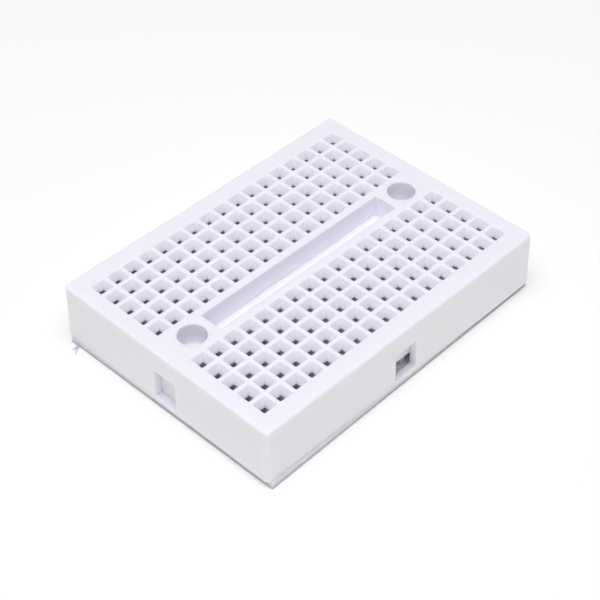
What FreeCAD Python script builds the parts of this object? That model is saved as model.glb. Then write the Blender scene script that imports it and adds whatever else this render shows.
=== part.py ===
import FreeCAD, Part
import math
import os

# Solderless breadboard with two banks of five-hole contact rows on a 2.54 mm grid.
# Millimetres. X runs along the long side and Y along the short side, and +Z is up. The long side with
# the socket faces -Y and the short side with the socket faces -X. The origin is the centre of the
# housing's outline, on the underside of the release liner.

# Contact grid
pitch = 2.54
columns = 17
rows_per_bank = 5
first_row_y = 1.5 * pitch

# Housing. Its sides lean out towards the foot, as a moulding's do, so the margins are at the top.
end_margin = 3.18
side_margin = 3.53
body_height = 8.05
draft_degrees = 1.3
corner_radius = 0.6
top_edge_radius = 0.3

# Contact hole: a square funnel that narrows to a square lead hole
funnel_mouth = 1.98
funnel_depth = 1.25
lead_hole = 1.1
roof_thickness = 1.4

# Clip cavity: one slot for each row of five holes, open at the underside
cavity_width = 1.7
cavity_inner_margin = 1.3
cavity_outer_margin = 1.83
groove_height = 2.08
long_wall_foot = 1.15

# Counterbored screw holes on the middle line, one near each end
screw_inset = 5.08
screw_head_diameter = 3.6
screw_head_depth = 3.1
screw_hole_diameter = 2.2

# Centre trench between the screw holes
trench_screw_gap = 3.02
trench_width = 3.33
trench_depth = 3.1

# Sockets and tabs that join two boards side by side, measured from the foot of the housing's sides
socket_width = 3.7
socket_height = 4.4
socket_depth = 1.2
socket_lip = 0.45
front_socket_x = -0.15
left_socket_y = -0.4
tab_clearance = 0.1
tab_root = 0.5

# Spring contact clip
clip_sheet = 0.18
clip_side_clearance = 0.03
clip_roof_gap = 0.9
clip_channel_height = 1.5
leaf_width = 1.9
pinch_gap = 0.15
pinch_drop = 1.5
tip_gap = 0.72

# Foam tape and its release liner, cut together and stuck on slightly askew
tape_thickness = 1.0
liner_thickness = 0.12
tape_margin = 0.4
tape_skew_degrees = 0.8
tape_shift_x = 0.1
tape_shift_y = -0.01

# Lengths, heights and places that follow from the sizes above
tape_bottom = liner_thickness
body_bottom = tape_bottom + tape_thickness
body_top = body_bottom + body_height
roof_bottom = body_top - roof_thickness
last_row_y = first_row_y + (rows_per_bank - 1) * pitch
last_column_x = (columns - 1) * pitch / 2
body_length = 2 * (last_column_x + end_margin)
body_width = 2 * (last_row_y + side_margin)
screw_spacing = body_length - 2 * screw_inset
trench_length = screw_spacing - 2 * trench_screw_gap
foot_growth = body_height * math.tan(math.radians(draft_degrees))
foot_length = body_length + 2 * foot_growth
foot_width = body_width + 2 * foot_growth
cavity_inner_y = first_row_y - cavity_inner_margin
cavity_outer_y = last_row_y + cavity_outer_margin
banks = {"back": 1, "front": -1}


def box(x_range, y_range, z_range):
    """A box between two values along each axis."""
    low = FreeCAD.Vector(x_range[0], y_range[0], z_range[0])
    return Part.makeBox(
        x_range[1] - x_range[0],
        y_range[1] - y_range[0],
        z_range[1] - z_range[0],
        low,
    )


def centred(middle, size):
    """The range of a given size about its middle."""
    return (middle - size / 2, middle + size / 2)


def square(x, y, z, side):
    """A closed square wire at one height."""
    reach = side / 2
    signs = [(-1, -1), (1, -1), (1, 1), (-1, 1), (-1, -1)]
    corners = [FreeCAD.Vector(x + sx * reach, y + sy * reach, z) for sx, sy in signs]
    return Part.makePolygon(corners)


def column_x(column):
    return column * pitch - last_column_x


def row_y(row):
    return first_row_y + row * pitch


def contact_hole(x, y):
    """The funnel and the lead hole below it, as the solid to cut away."""
    funnel_bottom = body_top - funnel_depth
    funnel = Part.makeLoft(
        [square(x, y, funnel_bottom, lead_hole), square(x, y, body_top, funnel_mouth)],
        True,
        True,
    )
    hole = box(centred(x, lead_hole), centred(y, lead_hole), (roof_bottom, funnel_bottom))
    return funnel.fuse(hole).removeSplitter()


def bank_cuts(side):
    """Contact holes, cavities and the groove along their outer ends for one bank."""
    cuts = []
    for column in range(columns):
        x = column_x(column)
        y_range = sorted((side * cavity_inner_y, side * cavity_outer_y))
        cuts.append(box(centred(x, cavity_width), y_range, (body_bottom, roof_bottom)))
        for row in range(rows_per_bank):
            cuts.append(contact_hole(x, side * row_y(row)))
    groove_reach = last_column_x + cavity_width / 2
    groove_y = sorted((side * cavity_outer_y, side * (foot_width / 2 - long_wall_foot)))
    groove_top = body_bottom + groove_height
    cuts.append(box((-groove_reach, groove_reach), groove_y, (body_bottom, groove_top)))
    return cuts


def screw_cut(x):
    """A counterbore and the smaller hole that runs on through the underside."""
    head_floor = body_top - screw_head_depth
    head_place = FreeCAD.Vector(x, 0, head_floor)
    hole_place = FreeCAD.Vector(x, 0, body_bottom)
    head = Part.makeCylinder(screw_head_diameter / 2, screw_head_depth, head_place)
    hole = Part.makeCylinder(screw_hole_diameter / 2, head_floor - body_bottom, hole_place)
    return head.fuse(hole)


def socket_cuts():
    """The pockets in the -Y and -X sides."""
    z_range = (body_bottom + socket_lip, body_bottom + socket_lip + socket_height)
    front_y = (-foot_width / 2, -foot_width / 2 + socket_depth)
    left_x = (-foot_length / 2, -foot_length / 2 + socket_depth)
    front = box(centred(front_socket_x, socket_width), front_y, z_range)
    left = box(left_x, centred(left_socket_y, socket_width), z_range)
    return [front, left]


def tabs():
    """The blocks on the +Y and +X sides that press into another board's sockets."""
    z_low = body_bottom + socket_lip + tab_clearance
    z_high = body_bottom + socket_lip + socket_height - tab_clearance
    width = socket_width - 2 * tab_clearance
    reach = socket_depth - tab_clearance
    back_y = (body_width / 2 - tab_root, foot_width / 2 + reach)
    right_x = (body_length / 2 - tab_root, foot_length / 2 + reach)
    back = box(centred(front_socket_x, width), back_y, (z_low, z_high))
    right = box(right_x, centred(left_socket_y, width), (z_low, z_high))
    return [back, right]


def rounded_outline(length, width, radius, z):
    """A closed rectangle at one height, with round corners."""
    edges = []
    for quarter in range(4):
        across = length if quarter % 2 == 0 else width
        along = width if quarter % 2 == 0 else length
        arc_x = across / 2 - radius
        arc_y = along / 2 - radius
        diagonal = radius * math.sqrt(0.5)
        start = FreeCAD.Vector(across / 2, arc_y, z)
        middle = FreeCAD.Vector(arc_x + diagonal, arc_y + diagonal, z)
        end = FreeCAD.Vector(arc_x, along / 2, z)
        next_start = FreeCAD.Vector(-arc_x, along / 2, z)
        corner = [Part.Arc(start, middle, end).toShape(), Part.LineSegment(end, next_start).toShape()]
        for edge in corner:
            edge.rotate(FreeCAD.Vector(0, 0, 0), FreeCAD.Vector(0, 0, 1), 90 * quarter)
        edges += corner
    return Part.Wire(edges)


def outer_block():
    """The housing before anything is cut: drafted sides, round corners and a softened top edge."""
    foot_radius = corner_radius + foot_growth
    foot = rounded_outline(foot_length, foot_width, foot_radius, body_bottom)
    top = rounded_outline(body_length, body_width, corner_radius, body_top)
    block = Part.makeLoft([foot, top], True, True)
    rim = [e for e in block.Edges if e.BoundBox.ZMin > body_top - top_edge_radius / 2]
    return block.makeFillet(top_edge_radius, rim)


def housing():
    block = outer_block().fuse(tabs())
    trench_z = (body_top - trench_depth, body_top)
    cuts = [box(centred(0, trench_length), centred(0, trench_width), trench_z)]
    cuts += [screw_cut(side * screw_spacing / 2) for side in (-1, 1)]
    cuts += socket_cuts()
    for side in banks.values():
        cuts += bank_cuts(side)
    return block.cut(cuts).removeSplitter()


def strip_face(path, thickness, y):
    """A bent strip seen end on: the outline that lies half a thickness each side of its path."""
    left = []
    right = []
    for i, (x, z) in enumerate(path):
        before = path[max(i - 1, 0)]
        after = path[min(i + 1, len(path) - 1)]
        here = (x, z)
        heading_in = heading(before, here) if i > 0 else heading(here, after)
        heading_out = heading(here, after) if i < len(path) - 1 else heading_in
        middle = (heading_in + heading_out) / 2
        reach = thickness / 2 / math.cos((heading_out - heading_in) / 2)
        dx = -math.sin(middle) * reach
        dz = math.cos(middle) * reach
        left.append(FreeCAD.Vector(x + dx, y, z + dz))
        right.append(FreeCAD.Vector(x - dx, y, z - dz))
    outline = left + right[::-1] + left[:1]
    return Part.Face(Part.makePolygon(outline))


def heading(start, end):
    return math.atan2(end[1] - start[1], end[0] - start[0])


def leaf_path(side):
    """The middle line of one leaf, from the channel wall in to the pinch and out to the tip."""
    wall = cavity_width / 2 - clip_side_clearance - clip_sheet / 2
    pinch = (pinch_gap + clip_sheet) / 2
    tip = (tip_gap + clip_sheet) / 2
    top = roof_bottom - clip_roof_gap
    channel_top = body_bottom + clip_channel_height
    return [
        (side * wall, body_bottom + clip_sheet / 2),
        (side * wall, channel_top),
        (side * pinch, top - pinch_drop),
        (side * tip, top),
    ]


def clip():
    """One contact clip for the row of five holes on the -Y side of the middle column."""
    half_width = cavity_width / 2 - clip_side_clearance
    start_y = -last_row_y - leaf_width / 2
    length = (rows_per_bank - 1) * pitch + leaf_width
    end_y = start_y + length
    base_z = (body_bottom, body_bottom + clip_sheet)
    channel_z = (body_bottom, body_bottom + clip_channel_height)
    pieces = [box((-half_width, half_width), (start_y, end_y), base_z)]
    for side in (-1, 1):
        wall_x = sorted((side * half_width, side * (half_width - clip_sheet)))
        pieces.append(box(wall_x, (start_y, end_y), channel_z))
        for row in range(rows_per_bank):
            y = -row_y(row) - leaf_width / 2
            leaf = strip_face(leaf_path(side), clip_sheet, y)
            pieces.append(leaf.extrude(FreeCAD.Vector(0, leaf_width, 0)))
    return pieces[0].fuse(pieces[1:]).removeSplitter()


def base_sheet(z, thickness):
    """A rectangle a little smaller than the housing's foot, turned and shifted as it was stuck on."""
    length = foot_length - 2 * tape_margin
    width = foot_width - 2 * tape_margin
    sheet = box(centred(0, length), centred(0, width), (z, z + thickness))
    sheet.rotate(FreeCAD.Vector(0, 0, 0), FreeCAD.Vector(0, 0, 1), tape_skew_degrees)
    sheet.translate(FreeCAD.Vector(tape_shift_x, tape_shift_y, 0))
    return sheet


def export(shape, node):
    """Write one node's STEP file and print what it holds."""
    shape.exportStep(os.path.join("parts", node + ".step"))
    print(node, len(shape.Solids), "solid", round(shape.Volume, 3), "mm3", shape.isValid())


os.makedirs("parts", exist_ok=True)
export(housing(), "housing")
export(base_sheet(tape_bottom, tape_thickness), "foam_tape")
export(base_sheet(0, liner_thickness), "release_liner")
front_clip = clip()
for bank, side in banks.items():
    for column in range(columns):
        piece = front_clip.copy()
        if side > 0:
            piece.rotate(FreeCAD.Vector(0, 0, 0), FreeCAD.Vector(0, 0, 1), 180)
        piece.translate(FreeCAD.Vector(column_x(column), 0, 0))
        export(piece, f"contact_clip_{bank}_{column + 1:02d}")
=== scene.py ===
import math

import bmesh
import bpy
from bpy.props import FloatProperty, FloatVectorProperty, IntProperty, PointerProperty
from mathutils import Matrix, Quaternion, Vector, noise


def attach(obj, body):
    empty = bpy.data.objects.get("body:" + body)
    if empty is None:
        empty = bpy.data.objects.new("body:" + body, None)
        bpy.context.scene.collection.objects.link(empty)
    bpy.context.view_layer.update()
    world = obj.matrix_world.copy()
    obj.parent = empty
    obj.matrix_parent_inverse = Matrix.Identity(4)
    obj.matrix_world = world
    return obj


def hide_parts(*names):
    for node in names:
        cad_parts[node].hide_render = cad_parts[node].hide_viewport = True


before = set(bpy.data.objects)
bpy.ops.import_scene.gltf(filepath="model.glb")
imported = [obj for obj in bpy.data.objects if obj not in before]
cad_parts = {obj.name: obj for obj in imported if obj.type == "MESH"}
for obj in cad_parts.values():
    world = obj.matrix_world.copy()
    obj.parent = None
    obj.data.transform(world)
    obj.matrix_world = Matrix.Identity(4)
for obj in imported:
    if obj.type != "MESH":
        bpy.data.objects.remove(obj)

bl_info = {
    "name": "Solderless Breadboard",
    "version": (1, 0, 0),
    "blender": (4, 5, 0),
    "location": "View3D > Sidebar > Breadboard",
    "description": "Builds a small white solderless breadboard, its clips, tape and liner",
    "category": "Object",
}

# All the lengths below are in millimetres unless they are in the PropertyGroup, which is in metres.
MM = 0.001

# Places on the frame's Z axis
LINER_TOP = 0.12
BODY_BOTTOM = 1.12
BODY_TOP = 9.17
ROOF_BOTTOM = 7.77

# Housing outline at its top, and how the sides lean out towards the foot
CORNER_RADIUS = 0.6
TOP_EDGE = 0.3
FOOT_EDGE = 0.1
DRAFT = math.radians(1.3)
CORNER_STEPS = 8
EDGE_STEPS = 5
SMALL_EDGE_STEPS = 3
LEAST_CORNER = 0.02

# Contact holes
CELL_CORNER = 0.13
LEAD_CORNER = 0.7 * CELL_CORNER
RIM_EDGE = 0.17
RIM_LAND = 0.05
LEAD_EDGE = 0.03
RING_STEPS = 4

# Cavities under the roof, and the groove along their outer ends
CAVITY_HALF = 0.85
CAVITY_INNER = 2.51
CAVITY_OUTER = 15.8
GROOVE_OUTER = 16.533
GROOVE_TOP = 3.2

# Screw holes, trench and their edges
SCREW_X = 18.42
SCREW_HOLE_RADIUS = 1.1
SCREW_HOLE_EDGE = 0.05
BORE_FLOOR = 6.07
BORE_FLOOR_EDGE = 0.06
TRENCH_HALF_LENGTH = 15.4
TRENCH_CORNER = 0.2
TRENCH_DRAFT = math.radians(0.8)
SOFT_EDGE = 0.12
SOFT_EDGE_STEPS = 4
ROUND_STEPS = 48
# The soft foot of the trench's walls: how far in from the wall, and how far above the floor
TRENCH_FOOT = ((0.0, 0.08), (0.02, 0.03), (0.08, 0.0))

# Sockets on two sides, tabs on the other two, and the faint round ejector marks on the front side
SOCKET_HALF_WIDTH = 1.85
SOCKET_HALF_HEIGHT = 2.2
SOCKET_MIDDLE = 3.77
SOCKET_DEPTH = 1.2
FRONT_SOCKET_X = -0.15
LEFT_SOCKET_Y = -0.4
SOCKET_CORNER = 0.12
SOCKET_EDGE = 0.07
TAB_CLEARANCE = 0.1
TAB_EDGE = 0.15
# Where they stand along each side, seen from outside with u to the right
SIDE_MIDDLE = {
    "right": LEFT_SOCKET_Y,
    "back": -FRONT_SOCKET_X,
    "left": -LEFT_SOCKET_Y,
    "front": FRONT_SOCKET_X,
}
MARK_X = 10.85
MARK_Z = 6.45
MARK_RADIUS = 0.65
MARK_SINK = 0.04
MARK_STEPS = 24
# The dish of an ejector mark: shares of its radius and of its depth
MARK_DISH = ((1.0, 0.0), (0.93, 0.5), (0.85, 0.9), (0.6, 1.0))

# Clip, in its own cavity, with the base on the tape
CLIP_SHEET = 0.18
CLIP_HALF = 0.82
CLIP_CHANNEL = 1.5
CLIP_TOP = 6.87
LEAF_WIDTH = 1.9
PINCH_HALF_GAP = 0.075
PINCH_DROP = 1.5
TIP_HALF_GAP = 0.36
TIP_DROP = 0.05
CLIP_BEND = 0.16
CLIP_BEND_STEPS = 4
CLIP_WORN_EDGE = 0.03
LEAF_LAND = 0.3

# Tape and liner, stuck on slightly askew
TAPE_SKEW = math.radians(0.8)
TAPE_MARGIN = 0.4
TAPE_SHIFT = (0.1, -0.01)
TAPE_CORNER = 0.12
TAPE_STEP = 0.3
TAPE_LAYERS = 7
TAPE_ROUGH = 0.05
TAPE_SPREAD = 0.2
LINER_ROUGH = 0.03
# The grey liner reaches a little past the tape, so its edge shows as a line of painted shade along the foot
LINER_SPREAD = 0.28
# Waves per millimetre of the rough edge, along it and up it, and where each sheet starts in the noise
ROUGH_ALONG = 2.1
ROUGH_UP = 2.6
TAPE_PHASE = 3.0
LINER_PHASE = 9.0
SHRED_THICKNESS = 0.08
# Torn threads at the liner's back left corner, as (x, y, z, width) along each
LINER_SHREDS = [
    [(-23.2, 15.75, 0.06, 0.3), (-23.7, 15.74, 0.2, 0.26), (-24.2, 15.6, 0.36, 0.2), (-24.6, 15.7, 0.3, 0.1)],
    [
        (-23.9, 15.68, 0.27, 0.2),
        (-24.3, 15.4, 0.2, 0.16),
        (-24.6, 15.1, 0.12, 0.12),
        (-24.85, 15.0, 0.07, 0.06),
    ],
]

# Grain sizes in the materials
MOULD_FLOW = 6.25
SPARK_GRAIN = 0.11
ROLLING_STREAK = 0.33
FOAM_CELL = 0.22
PAPER_FIBRE = 0.625

# How close two corners of a mesh are when they are one corner
WELD_DIGITS = 3
WELD_DISTANCE = 0.002

# Camera and light, in metres and watts
CAMERA_PLACE = (-0.103746, -0.101702, 0.139430)
CAMERA_AIM = (0.518347, 0.509921, -0.686511)
CAMERA_ROLL = math.radians(-0.342)
CAMERA_LENS = 94.94
SENSOR_WIDTH = 36.0
NEAREST_SEEN = 0.01
WORLD_STRENGTH = 0.225
LIGHT_TINT = "#F6F4FF"
SOFTBOX_PLACE = (-0.08, -0.06, 0.50)
SOFTBOX_SIZE = 0.6
SOFTBOX_POWER = 2.95
FLOOR_SIZE = 3.0
FLOOR_GLOW = 0.15
FLOOR_GAP = 0.00002


class Shell:
    """Collects faces by their corner points in millimetres, and welds them into one mesh."""

    def __init__(self):
        self.bm = bmesh.new()
        self.found = {}

    def corner(self, point):
        """The mesh's own corner at a point."""
        key = tuple(round(value, WELD_DIGITS) for value in point)
        if key not in self.found:
            self.found[key] = self.bm.verts.new(point)
        return self.found[key]

    def face(self, points):
        ring = []
        for vert in map(self.corner, points):
            if vert not in ring:
                ring.append(vert)
        if len(ring) > 2 and not self.bm.faces.get(ring):
            self.bm.faces.new(ring)

    def band(self, first, second):
        """Joins two closed loops that have the same number of points."""
        for i, point in enumerate(first):
            self.face([first[i - 1], point, second[i], second[i - 1]])

    def bands(self, rings):
        for first, second in zip(rings, rings[1:]):
            self.band(first, second)

    def object(self, name, sharp=math.radians(32)):
        """The finished mesh in metres, smooth except where its faces turn by more than sharp."""
        bmesh.ops.remove_doubles(self.bm, verts=self.bm.verts, dist=WELD_DISTANCE)
        bmesh.ops.recalc_face_normals(self.bm, faces=self.bm.faces)
        bmesh.ops.scale(self.bm, vec=(MM, MM, MM), verts=self.bm.verts)
        mesh = bpy.data.meshes.new(name)
        self.bm.to_mesh(mesh)
        self.bm.free()
        mesh.shade_smooth()
        mesh.set_sharp_from_angle(angle=sharp)
        piece = bpy.data.objects.new(name, mesh)
        bpy.context.scene.collection.objects.link(piece)
        return piece


def weight_normals(piece):
    """Lets the large flat faces keep their own normals, so only the rounded edges shade round."""
    modifier = piece.modifiers.new("Face weighted normals", "WEIGHTED_NORMAL")
    modifier.mode = "FACE_AREA"
    modifier.keep_sharp = True


def fillet(radius, turn, steps):
    """How far a rounded edge lies outside its wall, and how deep, from the flat face down."""
    start = radius * math.tan(turn / 2)
    angles = [turn * i / steps for i in range(steps + 1)]
    return [(start - radius * math.sin(a), radius * (1 - math.cos(a))) for a in angles]


def turn_point(u, v, angle):
    """A point turned anticlockwise about the origin."""
    return u * math.cos(angle) - v * math.sin(angle), u * math.sin(angle) + v * math.cos(angle)


def ring_points(half_u, half_v, corner, side_middle=0.0):
    """A rectangle with round corners from the middle of its right side, anticlockwise: 24 points.
    Points 0, 6, 12 and 18 are the middles of its sides."""
    points = []
    for quarter in range(4):
        across, along = (half_u, half_v) if quarter % 2 == 0 else (half_v, half_u)
        turned = quarter * math.pi / 2
        local = [(across, 0.0)]
        for i in range(RING_STEPS + 1):
            a = math.pi / 2 * i / RING_STEPS
            local.append((across - corner + corner * math.cos(a), along - corner + corner * math.sin(a)))
        for u, v in local:
            points.append(turn_point(u, v, turned))
    points[0] = (points[0][0], side_middle)
    points[12] = (points[12][0], side_middle)
    return points


def tile_points(half):
    """The square tile round a contact hole, point for point with ring_points."""
    steps = (half - 2 * RIM_LAND, half - RIM_LAND, half)
    quarter = [(half, 0.0)] + [(half, v) for v in steps] + [(u, half) for u in steps[1::-1]]
    points = []
    for turn in range(4):
        for u, v in quarter:
            points.append([(u, v), (-v, u), (-u, -v), (v, -u)][turn])
    return points


def circle_points(radius, steps):
    return [
        (radius * math.cos(2 * math.pi * i / steps), radius * math.sin(2 * math.pi * i / steps))
        for i in range(steps)
    ]


def flat(points, x, y, z):
    """Points on a level plane, moved to a place."""
    return [(x + u, y + v, z) for u, v in points]


class Layout:
    """Places on the board that follow from its settings, in millimetres."""

    def __init__(self, settings):
        self.pitch = settings.pitch / MM
        self.columns = settings.columns
        self.rows = settings.rows
        self.first_row = 1.5 * self.pitch
        self.mouth = settings.funnel_mouth / MM / 2
        self.depth = settings.funnel_depth / MM
        self.lead = settings.lead_hole / MM / 2
        self.trench_half = settings.trench_width / MM / 2
        self.trench_depth = settings.trench_depth / MM
        self.bore = settings.screw_head / MM / 2
        self.half_x = settings.length / MM / 2
        self.half_y = settings.width / MM / 2
        self.tile = self.pitch / 2
        self.grid_x = self.columns * self.tile
        self.grid_y = (self.rows + 1) * self.pitch

    def column(self, index):
        return (index - (self.columns - 1) / 2) * self.pitch

    def row(self, index):
        return self.first_row + index * self.pitch

    def outset(self, z):
        """How far the drafted sides stand outside the top outline at a height."""
        return (BODY_TOP - z) * math.tan(DRAFT)

    def outline(self, grow, z):
        """The housing's outline from the tab on its right side, anticlockwise: 42 points."""
        points = []
        stations = [[SIDE_MIDDLE[side]] for side in ("right", "back", "left", "front")]
        stations[3] = [-MARK_X] + stations[3] + [MARK_X]
        radius = CORNER_RADIUS + grow
        for quarter in range(4):
            across, along = (self.half_x, self.half_y) if quarter % 2 == 0 else (self.half_y, self.half_x)
            turned = quarter * math.pi / 2
            local = [(across + grow, v) for v in stations[quarter]]
            for i in range(CORNER_STEPS + 1):
                a = math.pi / 2 * i / CORNER_STEPS
                reach_u = across - CORNER_RADIUS + radius * math.cos(a)
                reach_v = along - CORNER_RADIUS + radius * math.sin(a)
                local.append((reach_u, reach_v))
            for u, v in local:
                points.append(turn_point(u, v, turned) + (z,))
        return points

    def on_side(self, side, u, z, out):
        """A point on a drafted side seen from outside: u to the right, z up, out away from it."""
        lean = self.outset(z) + out
        return {
            "front": (u, -self.half_y - lean, z),
            "left": (-self.half_x - lean, -u, z),
            "back": (-u, self.half_y + lean, z),
            "right": (self.half_x + lean, u, z),
        }[side]

    def side_ring(self, side, points, u, z, out):
        return [self.on_side(side, u + a, z + b, out) for a, b in points]


def tile_edge(layout):
    """Offsets of the points along one side of a contact hole's tile."""
    half = layout.tile
    inner = (half - 2 * RIM_LAND, half - RIM_LAND)
    return [-half, -inner[1], -inner[0], 0.0, inner[0], inner[1], half]


def contact_hole(shell, layout, x, y):
    """The tile of top face round a hole, its soft rim, the funnel and the lead hole. Returns the lowest
    ring."""
    slope = math.atan((layout.mouth - layout.lead) / layout.depth)
    rings = [flat(tile_points(layout.tile), x, y, BODY_TOP)]
    for out, depth in fillet(RIM_EDGE, math.pi / 2 - slope, EDGE_STEPS):
        half = layout.mouth + out
        rings.append(flat(ring_points(half, half, CELL_CORNER), x, y, BODY_TOP - depth))
    for out, depth in ((LEAD_EDGE * math.tan(slope), -LEAD_EDGE), (0.0, LEAD_EDGE)):
        half = layout.lead + out
        rings.append(flat(ring_points(half, half, LEAD_CORNER), x, y, BODY_TOP - layout.depth - depth))
    rings.append(flat(ring_points(layout.lead, layout.lead, LEAD_CORNER), x, y, ROOF_BOTTOM))
    shell.bands(rings)
    return rings[-1]


def cavity(shell, layout, column, way, holes):
    """The slot under one row of five holes, up to the underside of the roof."""
    x = layout.column(column)
    low, high = x - CAVITY_HALF, x + CAVITY_HALF
    inner, outer = way * CAVITY_INNER, way * CAVITY_OUTER
    last = layout.columns - 1
    for at, ends_bank in ((low, column == 0), (high, column == last)):
        wall = [(at, inner, BODY_BOTTOM), (at, outer, BODY_BOTTOM), (at, outer, GROOVE_TOP)]
        if ends_bank:
            end = way * GROOVE_OUTER
            wall[1:] = [(at, end, BODY_BOTTOM), (at, end, GROOVE_TOP), (at, outer, GROOVE_TOP)]
        shell.face(wall + [(at, outer, ROOF_BOTTOM), (at, inner, ROOF_BOTTOM)])
    for y, foot in ((inner, BODY_BOTTOM), (outer, GROOVE_TOP)):
        roof_edge = [(high, y, ROOF_BOTTOM), (x, y, ROOF_BOTTOM), (low, y, ROOF_BOTTOM)]
        shell.face([(low, y, foot), (high, y, foot)] + roof_edge)
    for side in (low, high):
        roof = [(side, inner, ROOF_BOTTOM), (x, inner, ROOF_BOTTOM)]
        for ring in holes:
            half = ring[6:19] if side == low else ring[18:] + ring[:7]
            near_first = sorted((half, half[::-1]), key=lambda path: way * path[0][1])[0]
            roof += near_first
        shell.face(roof + [(x, outer, ROOF_BOTTOM), (side, outer, ROOF_BOTTOM)])


def bank(shell, layout, way):
    """All the holes and cavities of one bank, and the groove along their outer ends."""
    for column in range(layout.columns):
        x = layout.column(column)
        holes = [contact_hole(shell, layout, x, way * layout.row(row)) for row in range(layout.rows)]
        cavity(shell, layout, column, way, holes)
    outer, groove = way * CAVITY_OUTER, way * GROOVE_OUTER
    for column in range(layout.columns - 1):
        low = layout.column(column) + CAVITY_HALF
        high = layout.column(column + 1) - CAVITY_HALF
        foot = [(low, outer, BODY_BOTTOM), (high, outer, BODY_BOTTOM)]
        shell.face(foot + [(high, outer, GROOVE_TOP), (low, outer, GROOVE_TOP)])
    end = layout.column(layout.columns - 1) + CAVITY_HALF
    ceiling = []
    for column in range(layout.columns):
        x = layout.column(column)
        ceiling += [(x - CAVITY_HALF, outer, GROOVE_TOP), (x + CAVITY_HALF, outer, GROOVE_TOP)]
    wall = [(-end, groove, BODY_BOTTOM), (end, groove, BODY_BOTTOM), (end, groove, GROOVE_TOP)]
    ceiling.append((end, groove, GROOVE_TOP))
    if way < 0:
        back = -layout.half_y - layout.outset(BODY_BOTTOM) + SOCKET_DEPTH
        notch = socket_back(groove)
        ceiling.append(notch[0])
        ceiling += [(FRONT_SOCKET_X + side * SOCKET_HALF_WIDTH, back, GROOVE_TOP) for side in (1, -1)]
        ceiling.append(notch[12])
        wall += [notch[0]] + notch[:17:-1] + notch[17:11:-1]
    ceiling.append((-end, groove, GROOVE_TOP))
    wall.append((-end, groove, GROOVE_TOP))
    shell.face(ceiling)
    shell.face(wall)


def socket_ring(grow=0.0):
    """The front socket's ring, whose side points lie level with the top of the groove."""
    middle = GROOVE_TOP - SOCKET_MIDDLE
    half_u, half_v = SOCKET_HALF_WIDTH + grow, SOCKET_HALF_HEIGHT + grow
    return ring_points(half_u, half_v, SOCKET_CORNER + grow, middle)


def socket_back(y):
    """The front socket's ring, moved back to where the groove begins."""
    return [(FRONT_SOCKET_X + u, y, SOCKET_MIDDLE + v) for u, v in socket_ring()]


def socket(shell, layout, side):
    """A pocket with a soft edge. Returns the ring where it meets the side."""
    rings = []
    middle = SIDE_MIDDLE[side]
    for out, depth in fillet(SOCKET_EDGE, math.pi / 2, SMALL_EDGE_STEPS):
        rings.append(layout.side_ring(side, socket_ring(out), middle, SOCKET_MIDDLE, -depth))
    foot_out = layout.outset(BODY_BOTTOM)
    back = []
    for u, v in socket_ring():
        z = SOCKET_MIDDLE + v
        back.append(layout.on_side(side, middle + u, z, foot_out - layout.outset(z) - SOCKET_DEPTH))
    rings.append(back)
    shell.bands(rings)
    if side == "left":
        shell.face(back)
    else:
        shell.face(back[:13])
        beyond = socket_back(-GROOVE_OUTER)
        order = [0] + list(range(23, 11, -1))
        for i, j in zip(order, order[1:]):
            shell.face([back[i], back[j], beyond[j], beyond[i]])
    return rings[0]


def tab(shell, layout, side):
    """A block that stands out of a side, with soft edges. Returns the ring where it meets the side."""
    half_u = SOCKET_HALF_WIDTH - TAB_CLEARANCE
    half_v = SOCKET_HALF_HEIGHT - TAB_CLEARANCE
    reach = SOCKET_DEPTH - TAB_CLEARANCE + layout.outset(BODY_BOTTOM)
    points = ring_points(half_u, half_v, TAB_EDGE)
    middle = SIDE_MIDDLE[side]
    base = layout.side_ring(side, points, middle, SOCKET_MIDDLE, 0)
    rings = [base]
    for out, depth in reversed(fillet(TAB_EDGE, math.pi / 2, SMALL_EDGE_STEPS)):
        ring = []
        for u, v in ring_points(half_u - out, half_v - out, max(TAB_EDGE - out, LEAST_CORNER)):
            z = SOCKET_MIDDLE + v
            ring.append(layout.on_side(side, middle + u, z, reach - depth - layout.outset(z)))
        rings.append(ring)
    shell.bands(rings)
    shell.face(rings[-1])
    return base


def ejector_mark(shell, layout, x):
    """A faint round dish in the front side. Returns the ring where it meets the side."""
    rings = []
    for share, sink in MARK_DISH:
        points = circle_points(MARK_RADIUS * share, MARK_STEPS)
        rings.append(layout.side_ring("front", points, x, MARK_Z, -MARK_SINK * sink))
    shell.bands(rings)
    shell.face(rings[-1])
    return rings[0]


def sides(shell, layout):
    """The soft top edge, the four drafted sides with what is set in them, and the foot's edge."""
    rim = []
    for out, depth in fillet(TOP_EDGE, math.pi / 2 - DRAFT, EDGE_STEPS):
        rim.append(layout.outline(-out, BODY_TOP - depth))
    shell.bands(rim)
    foot = []
    for out, depth in reversed(fillet(FOOT_EDGE, math.pi / 2, SMALL_EDGE_STEPS)):
        z = BODY_BOTTOM + depth
        foot.append(layout.outline(layout.outset(BODY_BOTTOM) - out, z))
    foot[0] = layout.outline(layout.outset(BODY_BOTTOM + FOOT_EDGE), BODY_BOTTOM + FOOT_EDGE)
    shell.bands(foot)
    holes = {
        0: tab(shell, layout, "right"),
        10: tab(shell, layout, "back"),
        20: socket(shell, layout, "left"),
        30: ejector_mark(shell, layout, -MARK_X),
        31: socket(shell, layout, "front"),
        32: ejector_mark(shell, layout, MARK_X),
    }
    top, low = rim[-1], foot[0]
    count = len(top)
    for i in range(count):
        j = (i + 1) % count
        panel = [top[i], top[j]]
        if j in holes:
            panel += holes[j][6:19]
        panel += [low[j], low[i]]
        if i in holes:
            right_half = holes[i][18:] + holes[i][:7]
            panel += right_half
        shell.face(panel)
    return rim[0], foot[-1]


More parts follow.
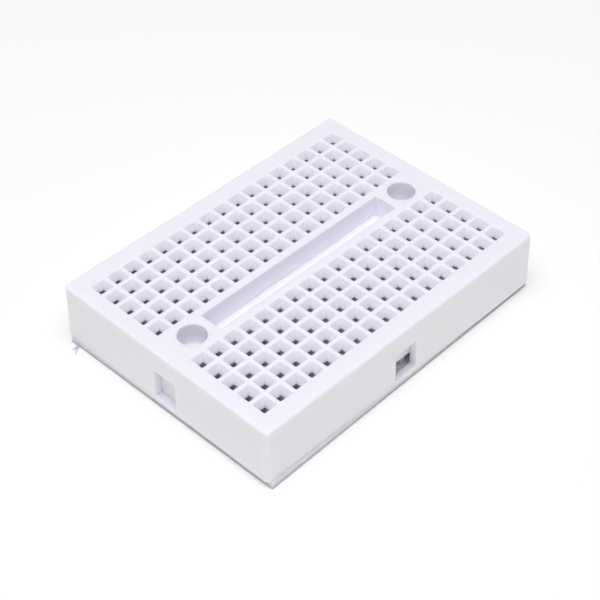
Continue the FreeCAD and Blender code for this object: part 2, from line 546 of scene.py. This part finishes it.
def round_well(shell, layout, x):
    """A counterbore and its screw hole. Returns the rings in the top face and in the underside."""
    rings = []
    for out, depth in fillet(SOFT_EDGE, math.pi / 2, SOFT_EDGE_STEPS):
        rings.append(flat(circle_points(layout.bore + out, ROUND_STEPS), x, 0, BODY_TOP - depth))
    for radius, z in (
        (layout.bore, BORE_FLOOR + BORE_FLOOR_EDGE),
        (layout.bore - BORE_FLOOR_EDGE, BORE_FLOOR),
        (SCREW_HOLE_RADIUS + SCREW_HOLE_EDGE, BORE_FLOOR),
        (SCREW_HOLE_RADIUS, BORE_FLOOR - SCREW_HOLE_EDGE),
        (SCREW_HOLE_RADIUS, BODY_BOTTOM),
    ):
        rings.append(flat(circle_points(radius, ROUND_STEPS), x, 0, z))
    shell.bands(rings)
    return rings[0], rings[-1]


def trench(shell, layout):
    """The trench between the banks. Returns its ring in the top face."""
    rings = []
    floor_z = BODY_TOP - layout.trench_depth
    for out, depth in fillet(SOFT_EDGE, math.pi / 2 - TRENCH_DRAFT, SOFT_EDGE_STEPS):
        corner = TRENCH_CORNER + out
        points = ring_points(TRENCH_HALF_LENGTH + out, layout.trench_half + out, corner)
        rings.append(flat(points, 0, 0, BODY_TOP - depth))
    lean = layout.trench_depth * math.tan(TRENCH_DRAFT)
    for inset, rise in TRENCH_FOOT:
        half_u = TRENCH_HALF_LENGTH - lean - inset
        points = ring_points(half_u, layout.trench_half - lean - inset, TRENCH_CORNER)
        rings.append(flat(points, 0, 0, floor_z + rise))
    shell.bands(rings)
    shell.face(rings[-1])
    return rings[0]


def top_face(shell, layout, rim, trench_ring, bores):
    """The plain parts of the top: round the grid of holes, and along the middle between the banks."""
    edge = tile_edge(layout)
    xs = sorted({round(layout.column(c) + o, 4) for c in range(layout.columns) for o in edge})
    rows = [way * layout.row(r) for way in (-1, 1) for r in range(layout.rows)]
    ys = sorted({round(row + o, 4) for row in rows for o in edge} | {0.0})
    gx, gy = layout.grid_x, layout.grid_y
    z = BODY_TOP
    shell.face([(x, -gy, z) for x in xs] + rim[37:24:-1])
    shell.face([(gx, y, z) for y in ys] + rim[5::-1] + rim[:36:-1])
    shell.face([(x, gy, z) for x in xs[::-1]] + rim[15:4:-1])
    shell.face([(-gx, y, z) for y in ys[::-1]] + rim[25:14:-1])
    half = ROUND_STEPS // 2
    left, right = bores
    middle = layout.pitch
    upper = left[half::-1] + trench_ring[12::-1] + right[half::-1]
    shell.face([(-gx, 0, z)] + upper + [(gx, 0, z)] + [(x, middle, z) for x in xs[::-1]])
    lower = left[half:] + left[:1] + trench_ring[12:] + trench_ring[:1] + right[half:] + right[:1]
    shell.face([(-gx, 0, z)] + lower + [(gx, 0, z)] + [(x, -middle, z) for x in xs[::-1]])


def underside(shell, layout, foot, bores):
    """The foot of the housing: its border, and the ribs between the cavities."""
    z = BODY_BOTTOM
    end = layout.column(layout.columns - 1) + CAVITY_HALF
    groove = GROOVE_OUTER
    ys = [-groove, -CAVITY_INNER, 0.0, CAVITY_INNER, groove]
    shell.face([(-end, -groove, z), (end, -groove, z)] + foot[37:24:-1])
    shell.face([(end, y, z) for y in ys] + foot[5::-1] + foot[:36:-1])
    shell.face([(end, groove, z), (-end, groove, z)] + foot[15:4:-1])
    shell.face([(-end, y, z) for y in ys[::-1]] + foot[25:14:-1])
    half = ROUND_STEPS // 2
    for way in (-1, 1):
        path = [(-end, 0, z)]
        for ring in bores:
            path += ring[half::-1] if way > 0 else ring[half:] + ring[:1]
        path.append((end, 0, z))
        for column in reversed(range(layout.columns)):
            x = layout.column(column)
            path += [(x + CAVITY_HALF, way * CAVITY_INNER, z), (x - CAVITY_HALF, way * CAVITY_INNER, z)]
            if column > 0:
                beyond = layout.column(column - 1) + CAVITY_HALF
                path += [(x - CAVITY_HALF, way * CAVITY_OUTER, z), (beyond, way * CAVITY_OUTER, z)]
        shell.face(path)


def build_housing(layout):
    shell = Shell()
    for way in (-1, 1):
        bank(shell, layout, way)
    rim, foot = sides(shell, layout)
    wells = [round_well(shell, layout, x) for x in (-SCREW_X, SCREW_X)]
    top_face(shell, layout, rim, trench(shell, layout), [well[0] for well in wells])
    underside(shell, layout, foot, [well[1] for well in wells])
    housing = shell.object("housing_shell")
    weight_normals(housing)
    return housing


def bend_points(path, radius, steps):
    """A path in X and Z whose corners are rounded, as sheet metal bends."""
    points = [path[0]]
    for before, here, after in zip(path, path[1:], path[2:]):
        here, toward, onward = Vector(here), Vector(before) - Vector(here), Vector(after) - Vector(here)
        turn = math.pi - toward.angle(onward)
        reach = radius * math.tan(turn / 2)
        start, end = here + toward.normalized() * reach, here + onward.normalized() * reach
        for i in range(steps + 1):
            t = i / steps
            points.append(tuple(start * (1 - t) ** 2 + here * 2 * t * (1 - t) + end * t**2))
    points.append(path[-1])
    return points


def clip_path():
    """The middle line of the clip's sheet across the cavity, from one leaf's tip to the other's."""
    sheet = CLIP_SHEET / 2
    wall = CLIP_HALF - sheet
    right = [
        (wall, BODY_BOTTOM + sheet),
        (wall, BODY_BOTTOM + CLIP_CHANNEL),
        (PINCH_HALF_GAP + sheet, CLIP_TOP - PINCH_DROP),
        (TIP_HALF_GAP + sheet, CLIP_TOP - TIP_DROP),
    ]
    return bend_points([(-x, z) for x, z in right[::-1]] + right, CLIP_BEND, CLIP_BEND_STEPS)


def build_clip_mesh(layout):
    """One clip, as a bent sheet whose five pairs of leaves stand apart above the channel."""
    path = clip_path()
    ys = []
    for row in range(layout.rows):
        near, far = layout.row(row) - LEAF_WIDTH / 2, layout.row(row) + LEAF_WIDTH / 2
        ys += [near, near + LEAF_LAND, far - LEAF_LAND, far]
    shell = Shell()
    for i in range(len(path) - 1):
        above = (path[i][1] + path[i + 1][1]) / 2 > BODY_BOTTOM + CLIP_CHANNEL
        for j in range(len(ys) - 1):
            if above and j % 4 == 3:
                continue
            corners = ((i, j), (i, j + 1), (i + 1, j + 1), (i + 1, j))
            shell.face([(path[a][0], ys[b], path[a][1]) for a, b in corners])
    piece = shell.object("clip_form", sharp=math.radians(60))
    thick = piece.modifiers.new("Sheet thickness", "SOLIDIFY")
    thick.thickness = CLIP_SHEET * MM
    thick.offset = 0
    thick.use_even_offset = True
    worn = piece.modifiers.new("Blanked edges", "BEVEL")
    worn.width = CLIP_WORN_EDGE * MM
    worn.segments = 2
    worn.limit_method = "ANGLE"
    worn.angle_limit = math.radians(50)
    shaped = piece.evaluated_get(bpy.context.evaluated_depsgraph_get())
    mesh = bpy.data.meshes.new_from_object(shaped)
    mesh.name = "contact_clip"
    bpy.data.objects.remove(piece)
    return mesh


def sheet_outline(layout, rough, z, phase, spread):
    """The outline of the stuck-on sheet at a height, in small steps, cut back a little at random."""
    foot = layout.outset(BODY_BOTTOM)
    half_x = layout.half_x + foot - TAPE_MARGIN + spread
    half_y = layout.half_y + foot - TAPE_MARGIN + spread
    corners = [(half_x, half_y), (-half_x, half_y), (-half_x, -half_y), (half_x, -half_y)]
    points = []
    for i, (x, y) in enumerate(corners):
        near, far = Vector((x, y)), Vector(corners[(i + 1) % 4])
        along = (far - near).normalized()
        inward = Vector((-along.y, along.x))
        steps = round((far - near).length / TAPE_STEP)
        straight = (far - near).length - 2 * TAPE_CORNER
        for k in range(steps + 1):
            place = near + along * (TAPE_CORNER + straight * k / steps)
            wave = noise.noise(Vector((place.x * ROUGH_ALONG, place.y * ROUGH_ALONG, z * ROUGH_UP + phase)))
            cut = rough * (0.5 + 0.5 * wave)
            points.append(place + inward * cut)
    turned = []
    for point in points:
        x, y = turn_point(point.x, point.y, TAPE_SKEW)
        turned.append((x + TAPE_SHIFT[0], y + TAPE_SHIFT[1], z))
    return turned


def build_tape(layout):
    """Foam tape, squeezed a little past its nominal outline, with a rough cut edge."""
    shell = Shell()
    rings = []
    for layer in range(TAPE_LAYERS):
        share = layer / (TAPE_LAYERS - 1)
        z = LINER_TOP + (BODY_BOTTOM - LINER_TOP) * share
        rings.append(sheet_outline(layout, TAPE_ROUGH, z, TAPE_PHASE, TAPE_SPREAD))
    shell.bands(rings)
    shell.face(rings[0])
    shell.face(rings[-1])
    return shell.object("tape_foam", sharp=math.radians(50))


def build_liner(layout):
    """The paper that covers the tape's lower glue, with a clean die-cut edge."""
    shell = Shell()
    rings = [sheet_outline(layout, LINER_ROUGH, z, LINER_PHASE, LINER_SPREAD) for z in (0.0, LINER_TOP)]
    shell.bands(rings)
    shell.face(rings[0])
    shell.face(rings[-1])
    for path in LINER_SHREDS:
        shred(shell, path)
    return shell.object("liner_sheet", sharp=math.radians(40))


def shred(shell, path):
    """A torn thread of the paper that tapers to its tip, as (x, y, z, width) along its middle."""
    rings = []
    for x, y, z, width in path:
        half, thin = width / 2, min(width, SHRED_THICKNESS) / 2
        section = ((-half, -thin), (half, -thin), (half, thin), (-half, thin))
        rings.append([(x, y + v, z + w) for v, w in section])
    shell.bands(rings)
    shell.face(rings[0])
    shell.face(rings[-1])


def colour(code):
    """An sRGB hex colour as linear values."""
    values = [int(code[i : i + 2], 16) / 255 for i in (1, 3, 5)]
    return tuple(v / 12.92 if v <= 0.04045 else ((v + 0.055) / 1.055) ** 2.4 for v in values) + (1.0,)


def add(tree, kind, inputs=None, **settings):
    """Adds a node, sets its properties, and fills or links its inputs."""
    node = tree.nodes.new(kind)
    for name, value in settings.items():
        setattr(node, name, value)
    for name, value in (inputs or {}).items():
        if isinstance(value, bpy.types.NodeSocket):
            tree.links.new(value, node.inputs[name])
        else:
            node.inputs[name].default_value = value
    return node


def new_material(name):
    """An empty material, its shader, and its surface's place in millimetres."""
    material = bpy.data.materials.new(name)
    material.use_nodes = True
    tree = material.node_tree
    tree.nodes.clear()
    shader = add(tree, "ShaderNodeBsdfPrincipled")
    add(tree, "ShaderNodeOutputMaterial", {"Surface": shader.outputs[0]})
    place = add(tree, "ShaderNodeTexCoord")
    scaled = add(
        tree,
        "ShaderNodeVectorMath",
        {0: place.outputs["Object"], "Scale": 1 / MM},
        operation="SCALE",
    )
    return material, tree, shader, scaled.outputs[0]


def blend_colours(tree, factor, first, second):
    """Two linear colours blended by a factor."""
    return add(tree, "ShaderNodeMix", {"Factor": factor, 6: first, 7: second}, data_type="RGBA").outputs[2]


def to_range(tree, value, low, high):
    """A value from 0 to 1, moved to a range."""
    found = add(tree, "ShaderNodeMapRange", {"Value": value, "To Min": low, "To Max": high})
    return found.outputs[0]


def moulded_abs(settings):
    """White ABS, injection moulded. Titanium dioxide makes it opaque and softly bright, the spark-eroded
    tool leaves a fine even grain, and thin ribs pass a little light."""
    material, tree, shader, place = new_material("white_moulded_abs")
    flow = add(tree, "ShaderNodeTexNoise", {"Vector": place, "Scale": 1 / MOULD_FLOW, "Detail": 3.0})
    grain = add(tree, "ShaderNodeTexNoise", {"Vector": place, "Scale": 1 / SPARK_GRAIN, "Detail": 3.0})
    plain, pale = tuple(settings.plastic) + (1.0,), tuple(settings.pale_plastic) + (1.0,)
    tint = blend_colours(tree, flow.outputs[0], plain, pale)
    tree.links.new(tint, shader.inputs["Base Color"])
    tree.links.new(to_range(tree, grain.outputs[0], 0.36, 0.5), shader.inputs["Roughness"])
    bump = add(
        tree,
        "ShaderNodeBump",
        {"Height": grain.outputs[0], "Strength": 0.25, "Distance": 0.008 * MM},
    )
    tree.links.new(bump.outputs[0], shader.inputs["Normal"])
    shader.inputs["IOR"].default_value = 1.54
    shader.inputs["Subsurface Weight"].default_value = 1.0
    shader.inputs["Subsurface Radius"].default_value = (1.0, 0.9, 0.85)
    shader.inputs["Subsurface Scale"].default_value = 0.7 * MM
    return material


def plated_bronze():
    """Phosphor bronze strip, nickel plated, then blanked and bent. The plating is a plain grey, and the
    rolling leaves fine streaks along the strip."""
    material, tree, shader, place = new_material("nickel_plated_phosphor_bronze")
    stretched = add(tree, "ShaderNodeVectorMath", {0: place, 1: (6.0, 0.5, 6.0)}, operation="MULTIPLY")
    streaks = add(
        tree,
        "ShaderNodeTexNoise",
        {"Vector": stretched.outputs[0], "Scale": 1 / ROLLING_STREAK, "Detail": 4.0},
    )
    tint = blend_colours(tree, streaks.outputs[0], colour("#9C9CA3"), colour("#B0B0B6"))
    tree.links.new(tint, shader.inputs["Base Color"])
    tree.links.new(to_range(tree, streaks.outputs[0], 0.22, 0.38), shader.inputs["Roughness"])
    bump = add(
        tree,
        "ShaderNodeBump",
        {"Height": streaks.outputs[0], "Strength": 0.3, "Distance": 0.003 * MM},
    )
    tree.links.new(bump.outputs[0], shader.inputs["Normal"])
    shader.inputs["Metallic"].default_value = 1.0
    return material


def cell_foam():
    """White polyethylene foam, extruded and slit. Closed cells about a fifth of a millimetre across show
    as small pits on the cut edge."""
    material, tree, shader, place = new_material("white_polyethylene_foam")
    cells = add(tree, "ShaderNodeTexVoronoi", {"Vector": place, "Scale": 1 / FOAM_CELL}, feature="F1")
    tint = blend_colours(tree, cells.outputs["Distance"], colour("#FCFCFF"), colour("#EDEDF7"))
    tree.links.new(tint, shader.inputs["Base Color"])
    bump = add(
        tree,
        "ShaderNodeBump",
        {"Height": cells.outputs["Distance"], "Strength": 0.4, "Distance": 0.06 * MM},
        invert=True,
    )
    tree.links.new(bump.outputs[0], shader.inputs["Normal"])
    shader.inputs["Roughness"].default_value = 0.8
    shader.inputs["IOR"].default_value = 1.5
    shader.inputs["Subsurface Weight"].default_value = 1.0
    shader.inputs["Subsurface Radius"].default_value = (1.0, 0.9, 0.85)
    shader.inputs["Subsurface Scale"].default_value = 0.8 * MM
    return material


def release_paper_painted_shade():
    """Bleached kraft paper, supercalendered and silicone coated. Its two greys are darker than the paper's
    own white: painted shade, so the sheet's edge stands for the shadow line along the tape's foot. Short
    fibres mottle it faintly, and the coating gives it a dull sheen."""
    material, tree, shader, place = new_material("kraft_paper_painted_foot_shade")
    stretched = add(tree, "ShaderNodeVectorMath", {0: place, 1: (0.7, 2.4, 2.4)}, operation="MULTIPLY")
    fibres = add(
        tree,
        "ShaderNodeTexNoise",
        {"Vector": stretched.outputs[0], "Scale": 1 / PAPER_FIBRE, "Detail": 6.0},
    )
    # Painted shade: greys darker than the white paper, so the liner's edge reads as the shadow line under the
    # foot; the fibres mottle them
    tint = blend_colours(tree, fibres.outputs[0], colour("#C4C4CE"), colour("#D2D2DA"))
    tree.links.new(tint, shader.inputs["Base Color"])
    tree.links.new(to_range(tree, fibres.outputs[0], 0.38, 0.52), shader.inputs["Roughness"])
    bump = add(
        tree,
        "ShaderNodeBump",
        {"Height": fibres.outputs[0], "Strength": 0.3, "Distance": 0.01 * MM},
    )
    tree.links.new(bump.outputs[0], shader.inputs["Normal"])
    shader.inputs["IOR"].default_value = 1.5
    return material


def matt_floor():
    """White paper sweep: matt, even, and without a pattern."""
    material, _, shader, _ = new_material("matt_white_sweep")
    shader.inputs["Base Color"].default_value = colour("#F0F0E6")
    shader.inputs["Roughness"].default_value = 0.9
    shader.inputs["Specular IOR Level"].default_value = 0.1
    shader.inputs["Emission Color"].default_value = colour("#FFFFFF")
    shader.inputs["Emission Strength"].default_value = FLOOR_GLOW
    return material


class BreadboardSettings(bpy.types.PropertyGroup):
    """Main sizes and the plastic's colours."""

    pitch: FloatProperty(
        name="Pitch", description="Distance between neighbouring holes", default=2.54 * MM, unit="LENGTH"
    )
    columns: IntProperty(name="Columns", description="Rows of five in each bank", default=17)
    rows: IntProperty(name="Rows", description="Holes in each row", default=5)
    length: FloatProperty(
        name="Length", description="Length of the top of the housing", default=47.0 * MM, unit="LENGTH"
    )
    width: FloatProperty(
        name="Width", description="Width of the top of the housing", default=35.0 * MM, unit="LENGTH"
    )
    funnel_mouth: FloatProperty(
        name="Hole mouth", description="Side of a hole at the top face", default=1.98 * MM, unit="LENGTH"
    )
    funnel_depth: FloatProperty(
        name="Funnel depth", description="Depth of the tapered part", default=1.25 * MM, unit="LENGTH"
    )
    lead_hole: FloatProperty(
        name="Lead hole", description="Side of the hole below the funnel", default=1.1 * MM, unit="LENGTH"
    )
    trench_width: FloatProperty(
        name="Trench width", description="Width of the middle trench", default=3.33 * MM, unit="LENGTH"
    )
    trench_depth: FloatProperty(
        name="Trench depth", description="Depth of the middle trench", default=3.1 * MM, unit="LENGTH"
    )
    screw_head: FloatProperty(
        name="Counterbore", description="Diameter of a screw's counterbore", default=3.6 * MM, unit="LENGTH"
    )
    plastic: FloatVectorProperty(
        name="Plastic", description="Colour of the housing", default=colour("#F5F5FF")[:3], subtype="COLOR"
    )
    pale_plastic: FloatVectorProperty(
        name="Pale plastic",
        description="Colour where the housing's plastic flowed a little paler",
        default=colour("#F8F8FF")[:3],
        subtype="COLOR",
    )


def finish_piece(piece, body, material, slot, *nodes):
    """Gives a piece its material, its body and its place in the frame."""
    if not piece.data.materials:
        piece.data.materials.append(material)
    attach(piece, body)
    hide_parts(*nodes)


class BREADBOARD_OT_housing(bpy.types.Operator):
    """Build the moulded housing with its holes, trench, sockets and tabs"""

    bl_idname = "breadboard.housing"
    bl_label = "Housing"

    def execute(self, context):
        settings = context.scene.breadboard
        housing = build_housing(Layout(settings))
        finish_piece(housing, "board", moulded_abs(settings), "housing_abs", "housing")
        return {"FINISHED"}


class BREADBOARD_OT_clips(bpy.types.Operator):
    """Build the contact clips, one under each row of five holes"""

    bl_idname = "breadboard.clips"
    bl_label = "Contact clips"

    def execute(self, context):
        layout = Layout(context.scene.breadboard)
        mesh = build_clip_mesh(layout)
        metal = plated_bronze()
        for side, turn in (("back", 0.0), ("front", math.pi)):
            for column in range(layout.columns):
                number = f"{side}_{column + 1:02d}"
                piece = bpy.data.objects.new(f"clip_{number}", mesh)
                context.scene.collection.objects.link(piece)
                piece.location.x = layout.column(column) * MM
                piece.rotation_euler.z = turn
                finish_piece(piece, "board", metal, "contact_metal", f"contact_clip_{number}")
        return {"FINISHED"}


class BREADBOARD_OT_tape(bpy.types.Operator):
    """Build the foam tape under the housing"""

    bl_idname = "breadboard.tape"
    bl_label = "Foam tape"

    def execute(self, context):
        tape = build_tape(Layout(context.scene.breadboard))
        finish_piece(tape, "board", cell_foam(), "foam_tape", "foam_tape")
        return {"FINISHED"}


class BREADBOARD_OT_liner(bpy.types.Operator):
    """Build the paper that covers the tape"""

    bl_idname = "breadboard.liner"
    bl_label = "Release liner"

    def execute(self, context):
        liner = build_liner(Layout(context.scene.breadboard))
        finish_piece(liner, "liner", release_paper_painted_shade(), "liner_paper", "release_liner")
        return {"FINISHED"}


class BREADBOARD_OT_stage(bpy.types.Operator):
    """Set the floor, the soft light and the camera"""

    bl_idname = "breadboard.stage"
    bl_label = "Stage"

    def execute(self, context):
        scene = context.scene
        bpy.ops.mesh.primitive_plane_add(size=FLOOR_SIZE, location=(0, 0, -FLOOR_GAP))
        floor = context.active_object
        floor.name = "floor"
        floor.data.materials.append(matt_floor())
        world = bpy.data.worlds.new("soft_studio")
        world.use_nodes = True
        sky = world.node_tree.nodes["Background"]
        sky.inputs["Color"].default_value = colour(LIGHT_TINT)
        sky.inputs["Strength"].default_value = WORLD_STRENGTH
        scene.world = world
        softbox = bpy.data.lights.new("softbox", "AREA")
        softbox.shape = "DISK"
        softbox.size = SOFTBOX_SIZE
        softbox.energy = SOFTBOX_POWER
        softbox.color = colour(LIGHT_TINT)[:3]
        lamp = bpy.data.objects.new("softbox", softbox)
        lamp.location = SOFTBOX_PLACE
        lamp.rotation_euler = (-Vector(SOFTBOX_PLACE)).to_track_quat("-Z", "Y").to_euler()
        scene.collection.objects.link(lamp)
        lens = bpy.data.cameras.new("camera")
        lens.lens = CAMERA_LENS
        lens.sensor_width = SENSOR_WIDTH
        lens.clip_start = NEAREST_SEEN
        camera = bpy.data.objects.new("camera", lens)
        camera.location = CAMERA_PLACE
        camera.rotation_mode = "QUATERNION"
        aim = Vector(CAMERA_AIM).to_track_quat("-Z", "Y")
        camera.rotation_quaternion = aim @ Quaternion((0, 0, 1), CAMERA_ROLL)
        scene.collection.objects.link(camera)
        scene.camera = camera
        scene.view_settings.view_transform = "Standard"
        return {"FINISHED"}


class BREADBOARD_PT_pieces(bpy.types.Panel):
    """Lists the pieces of the breadboard"""

    bl_idname = "BREADBOARD_PT_pieces"
    bl_label = "Breadboard"
    bl_space_type = "VIEW_3D"
    bl_region_type = "UI"
    bl_category = "Breadboard"

    def draw(self, context):
        settings = context.scene.breadboard
        for name in settings.bl_rna.properties.keys():
            if name not in {"rna_type", "name"}:
                self.layout.prop(settings, name)
        for operator in OPERATORS:
            self.layout.operator(operator.bl_idname)


OPERATORS = (
    BREADBOARD_OT_housing,
    BREADBOARD_OT_clips,
    BREADBOARD_OT_tape,
    BREADBOARD_OT_liner,
    BREADBOARD_OT_stage,
)
CLASSES = (BreadboardSettings, BREADBOARD_PT_pieces) + OPERATORS


def register():
    for cls in CLASSES:
        bpy.utils.register_class(cls)
    bpy.types.Scene.breadboard = PointerProperty(type=BreadboardSettings)


def unregister():
    del bpy.types.Scene.breadboard
    for cls in reversed(CLASSES):
        bpy.utils.unregister_class(cls)


def main():
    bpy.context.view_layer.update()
    register()
    bpy.ops.breadboard.housing()
    bpy.ops.breadboard.clips()
    bpy.ops.breadboard.tape()
    bpy.ops.breadboard.liner()
    bpy.ops.breadboard.stage()


if __name__ == "__main__":
    main()
